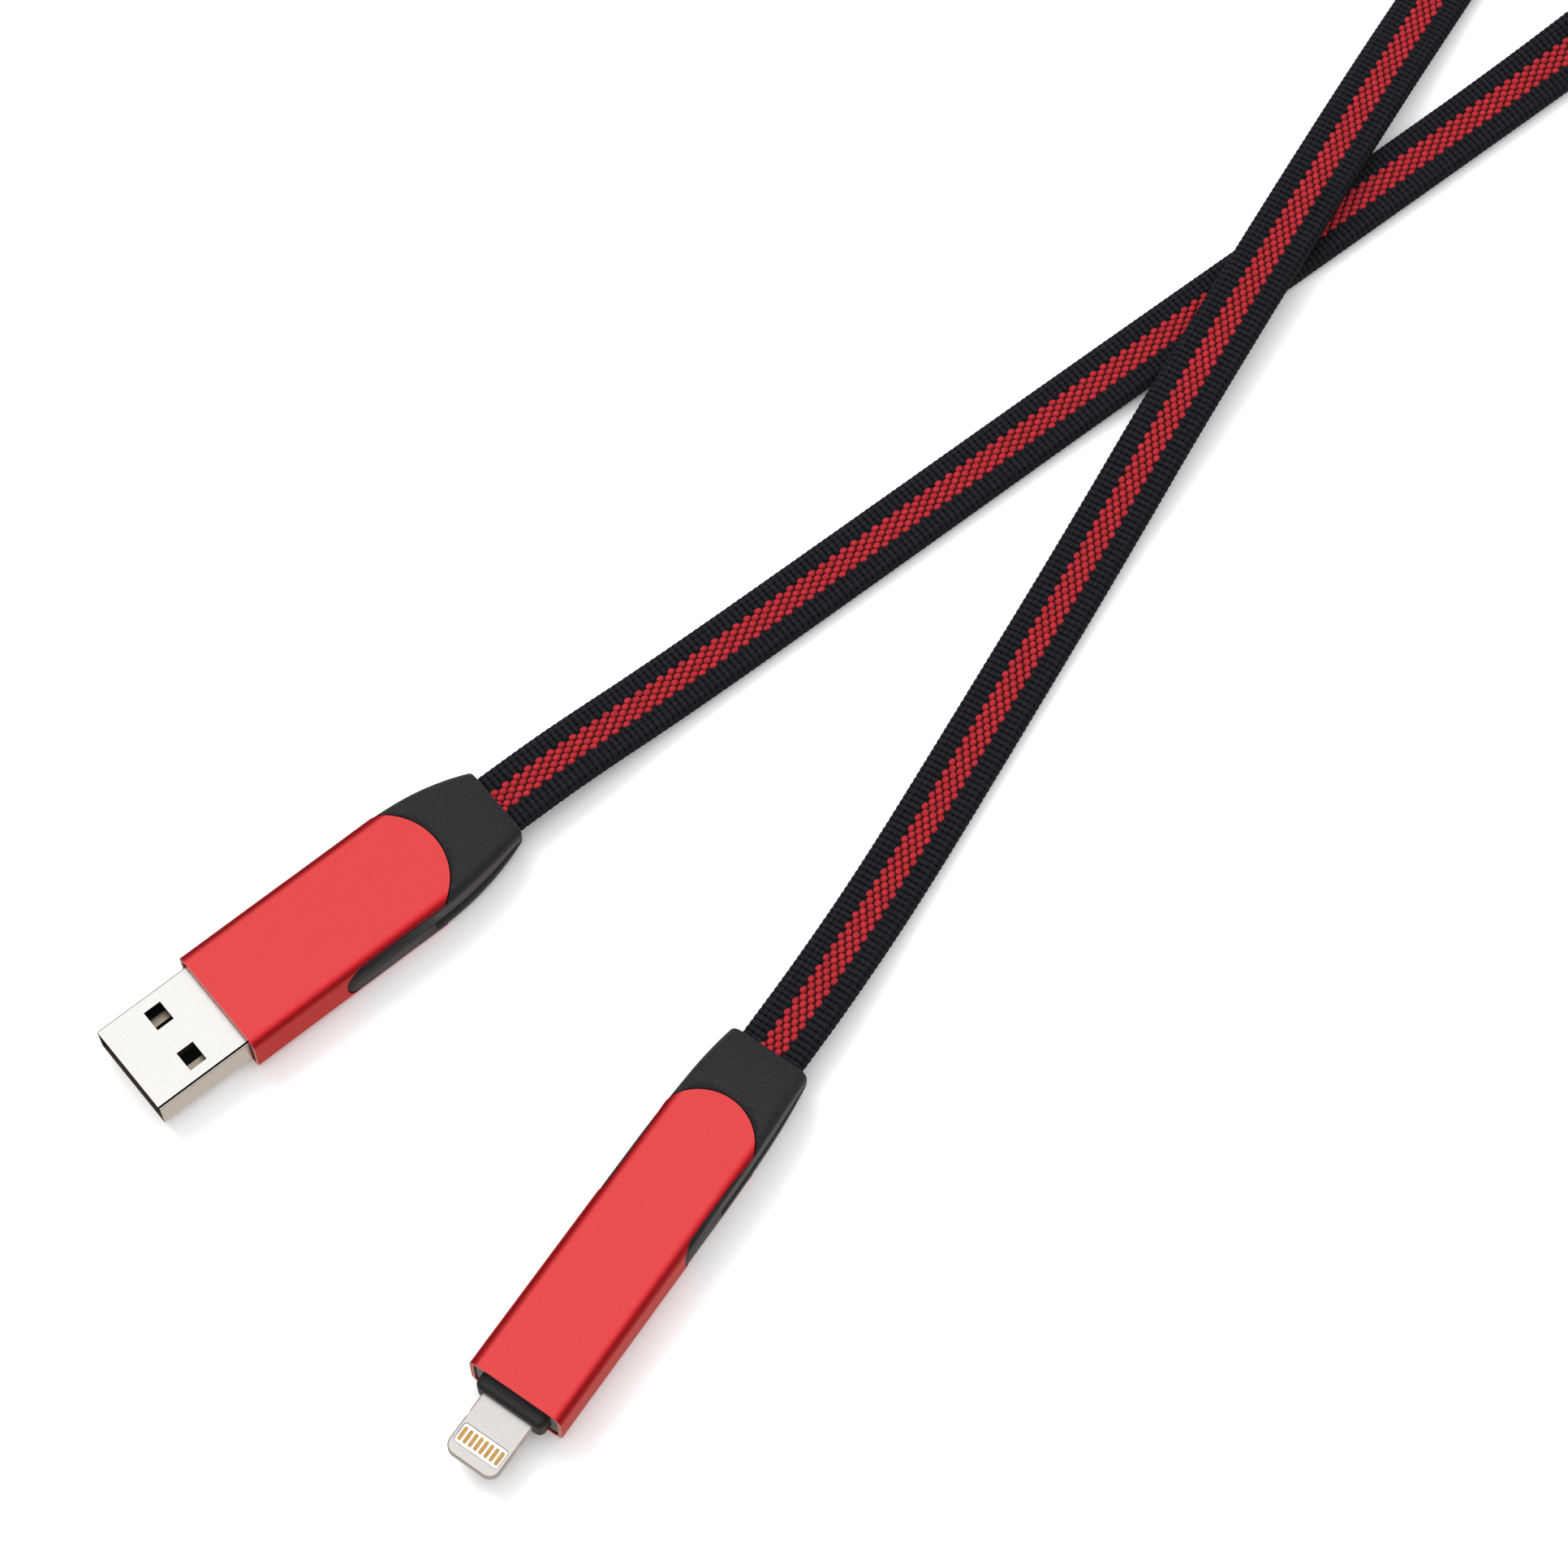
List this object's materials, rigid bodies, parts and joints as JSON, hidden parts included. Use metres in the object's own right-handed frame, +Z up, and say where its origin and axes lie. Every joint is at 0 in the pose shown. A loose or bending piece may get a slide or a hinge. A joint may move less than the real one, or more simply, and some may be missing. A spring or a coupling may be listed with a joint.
{
  "type": "charging cable",
  "caption": "Flat woven charging cable with a wide power plug at one end and a slim contact-tab plug at the other, the rest of the cord coiled and strapped.",
  "frame": {"origin": "on the resting surface under the wide plug's sleeve, on the plug's centre line, 27 mm behind the tip of its shell", "axes": "+Y along the wide plug from its tip towards the cord, +X to the plug's right seen from above with the cord ahead, +Z up from the resting surface"},
  "size_m": [0.1115, 0.3402, 0.0132],
  "materials": {
    "plated_steel": "fine satin nickel plate",
    "tab_steel": "satin",
    "contact_gold": "gold plated",
    "white_moulding": "smooth",
    "black_moulding": "smooth",
    "grey_moulding": "fine grain",
    "red_anodised": "satin anodised",
    "black_boot": "matte, fine grain",
    "crimp_steel": "bare",
    "board_green": "solder mask",
    "chip_black": "moulded",
    "wire_red": "insulation",
    "wire_white": "insulation",
    "wire_green": "insulation",
    "wire_black": "insulation",
    "woven_ribbon": "woven, red stripe along the middle of both faces",
    "strap_black": "hook and loop"
  },
  "bodies": {
    "root": {"wide_plug_shell": "plated_steel", "wide_plug_insulator": "black_moulding", "wide_plug_retainer": "black_moulding", "wide_plug_contact_power": "contact_gold", "wide_plug_contact_data_minus": "contact_gold", "wide_plug_contact_data_plus": "contact_gold", "wide_plug_contact_ground": "contact_gold", "wide_plug_circuit_board": "board_green", "wide_plug_core_lower": "grey_moulding", "wide_plug_core_upper": "grey_moulding", "wide_plug_sleeve": "red_anodised", "wide_plug_boot_upper": "black_boot", "wide_plug_boot_lower": "black_boot", "wide_plug_crimp": "crimp_steel", "wide_plug_wire_red": "wire_red", "wide_plug_wire_white": "wire_white", "wide_plug_wire_green": "wire_green", "wide_plug_wire_black": "wire_black", "slim_plug_tab": "tab_steel", "slim_plug_insulator": "white_moulding", "slim_plug_pads_upper": "contact_gold", "slim_plug_pads_lower": "contact_gold", "slim_plug_collar": "black_moulding", "slim_plug_circuit_board": "board_green", "slim_plug_control_chip": "chip_black", "slim_plug_core_lower": "grey_moulding", "slim_plug_core_upper": "grey_moulding", "slim_plug_sleeve": "red_anodised", "slim_plug_boot_upper": "black_boot", "slim_plug_boot_lower": "black_boot", "slim_plug_crimp": "crimp_steel", "slim_plug_wire_red": "wire_red", "slim_plug_wire_white": "wire_white", "slim_plug_wire_green": "wire_green", "slim_plug_wire_black": "wire_black", "cord_wide_side": "woven_ribbon", "cord_slim_side": "woven_ribbon", "cord_coil": "woven_ribbon", "coil_tie_right": "strap_black", "coil_tie_far": "strap_black"}
  },
  "joints": []
}
